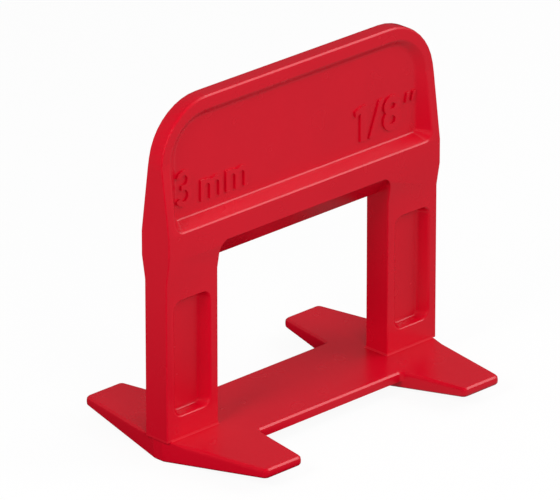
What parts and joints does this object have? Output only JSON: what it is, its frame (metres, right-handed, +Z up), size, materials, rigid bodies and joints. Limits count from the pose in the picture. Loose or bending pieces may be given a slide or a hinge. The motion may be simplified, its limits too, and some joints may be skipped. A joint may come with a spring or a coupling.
{
  "type": "tile levelling clip",
  "caption": "Moulded tile levelling clip: a thin base with tapered feet, posts that stand in the tile joint and a panelled head over the window that a wedge is driven through.",
  "frame": {"origin": "on the ground under the middle of the base", "axes": "+X along the joint from post to post, +Y across the joint through the thickness of the clip, +Z up from the base to the head"},
  "size_m": [0.0374, 0.0252, 0.0367],
  "materials": {
    "red_plastic": "satin moulded plastic, red throughout"
  },
  "bodies": {
    "root": {"levelling_clip": "red_plastic"}
  },
  "joints": []
}
